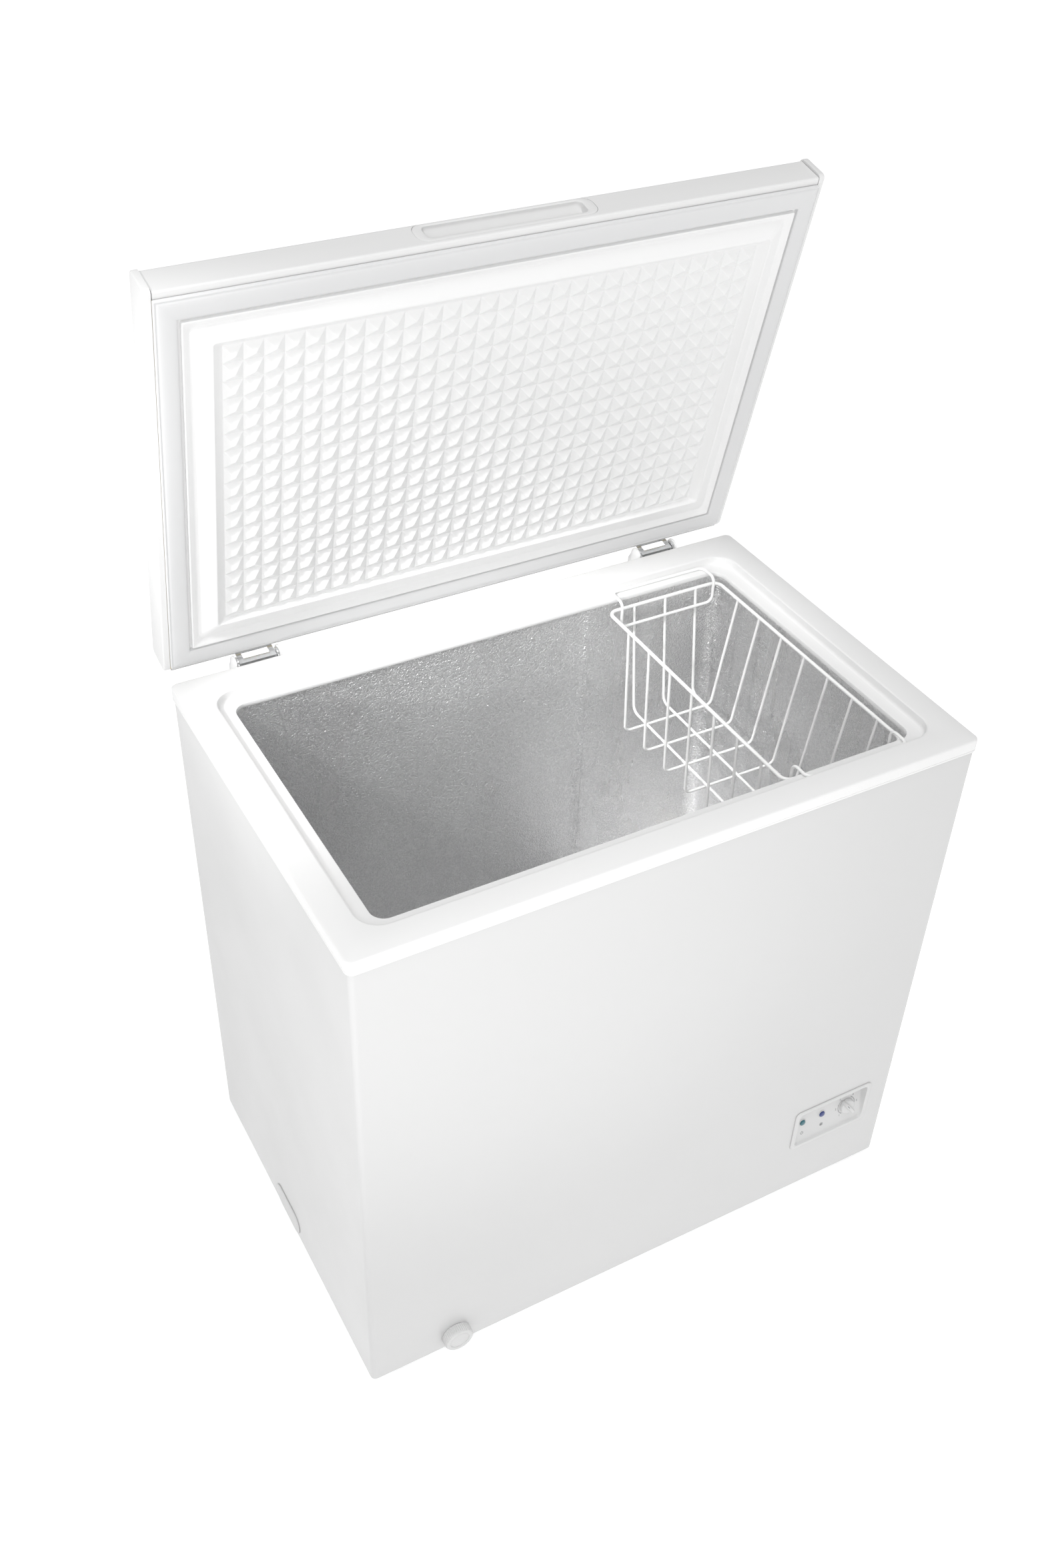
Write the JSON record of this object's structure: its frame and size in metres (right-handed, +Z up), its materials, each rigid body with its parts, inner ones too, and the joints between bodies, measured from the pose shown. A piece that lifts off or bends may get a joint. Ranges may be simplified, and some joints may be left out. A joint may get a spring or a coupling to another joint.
{
  "type": "chest freezer",
  "caption": "Top-opening chest freezer with a rear-hinged insulated lid, a sliding wire basket, a front thermostat panel and a defrost drain.",
  "frame": {"origin": "on the floor under the middle of the whole outline, with the lid standing open as at rest", "axes": "+X to the right of a user standing at the front, +Y from the front to the back, +Z up"},
  "size_m": [0.808, 0.5936, 1.3034],
  "materials": {
    "painted_steel": "white gloss powder paint on sheet steel",
    "white_plastic": "white moulded plastic, soft gloss",
    "embossed_aluminium": "stucco-embossed mill-finish sheet",
    "galvanised_steel": "galvanised sheet, dull spangle",
    "insulation_foam": "rigid polyurethane foam, skinned and matte",
    "copper": "drawn copper tube, slightly dull",
    "black_steel": "black enamel on a pressed steel can",
    "black_plastic": "black moulded plastic, matte",
    "chrome": "bright plated steel",
    "seal_rubber": "soft light grey vinyl seal",
    "coated_wire": "white plastic-coated steel wire",
    "green_lens": "green translucent lamp lens",
    "blue_lens": "blue translucent lamp lens"
  },
  "bodies": {
    "cabinet": {"cabinet_shell": "painted_steel", "back_panel": "galvanised_steel", "base_plate": "galvanised_steel", "top_rim": "white_plastic", "liner_wall": "embossed_aluminium", "liner_floor": "embossed_aluminium", "foam_insulation": "insulation_foam", "compressor_housing": "galvanised_steel", "evaporator_coil": "copper", "condenser_coil": "copper", "compressor": "black_steel", "relay_cover": "black_plastic", "filter_drier": "copper", "suction_line": "copper", "discharge_line": "copper", "rear_grille": "black_plastic", "cord_gland": "black_plastic", "side_cap": "white_plastic", "foot_front_left": "black_plastic", "foot_front_right": "black_plastic", "foot_rear_left": "black_plastic", "foot_rear_right": "black_plastic", "control_bezel": "white_plastic", "power_lamp": "green_lens", "run_lamp": "blue_lens", "thermostat": "black_plastic", "sensing_tube": "copper", "drain_tube": "white_plastic", "hinge_base_left": "galvanised_steel", "hinge_pin_left": "chrome", "hinge_cover_left": "white_plastic", "hinge_base_right": "galvanised_steel", "hinge_pin_right": "chrome", "hinge_cover_right": "white_plastic"},
    "lid": {"hinge_arm_left": "chrome", "hinge_arm_right": "chrome", "lid_side_trim_left": "white_plastic", "lid_side_trim_right": "white_plastic", "lid_front_trim": "white_plastic", "lid_handle_insert": "white_plastic", "lid_inner_liner": "white_plastic", "lid_top_panel": "painted_steel", "lid_gasket": "seal_rubber", "lid_foam": "insulation_foam"},
    "basket": {"basket_rim": "coated_wire", "basket_cross_wire_1": "coated_wire", "basket_cross_wire_2": "coated_wire", "basket_cross_wire_3": "coated_wire", "basket_cross_wire_4": "coated_wire", "basket_cross_wire_5": "coated_wire", "basket_cross_wire_6": "coated_wire", "basket_cross_wire_7": "coated_wire", "basket_long_wire_1": "coated_wire", "basket_long_wire_2": "coated_wire", "basket_long_wire_3": "coated_wire", "basket_hook_rear": "coated_wire", "basket_hook_front": "coated_wire"},
    "knob": {"control_knob": "white_plastic"},
    "drain_cap": {"drain_dial": "white_plastic"},
    "plug": {"drain_plug": "white_plastic"}
  },
  "joints": [
    {"name": "lid_hinge", "type": "hinge", "parent": "cabinet", "child": "lid", "pos_m": [0, 0.24802, 0.769], "axis": [1, 0, 0], "range_deg": [-8, 77]},
    {"name": "basket_slide", "type": "slide", "parent": "cabinet", "child": "basket", "axis": [1, 0, 0], "range_m": [-0.512, 0]},
    {"name": "thermostat_knob", "type": "hinge", "parent": "cabinet", "child": "knob", "pos_m": [0.336, -0.27734, 0.1397], "axis": [0, -0.988, 0.1544], "range_deg": [-270, 0]},
    {"name": "drain_dial_turn", "type": "hinge", "parent": "cabinet", "child": "drain_cap", "pos_m": [-0.2834, -0.28428, 0.037], "axis": [0, -1, 0], "range_deg": [0, 180]},
    {"name": "drain_plug_lift", "type": "slide", "parent": "cabinet", "child": "plug", "axis": [0, 0, 1], "range_m": [0, 0.03]}
  ]
}
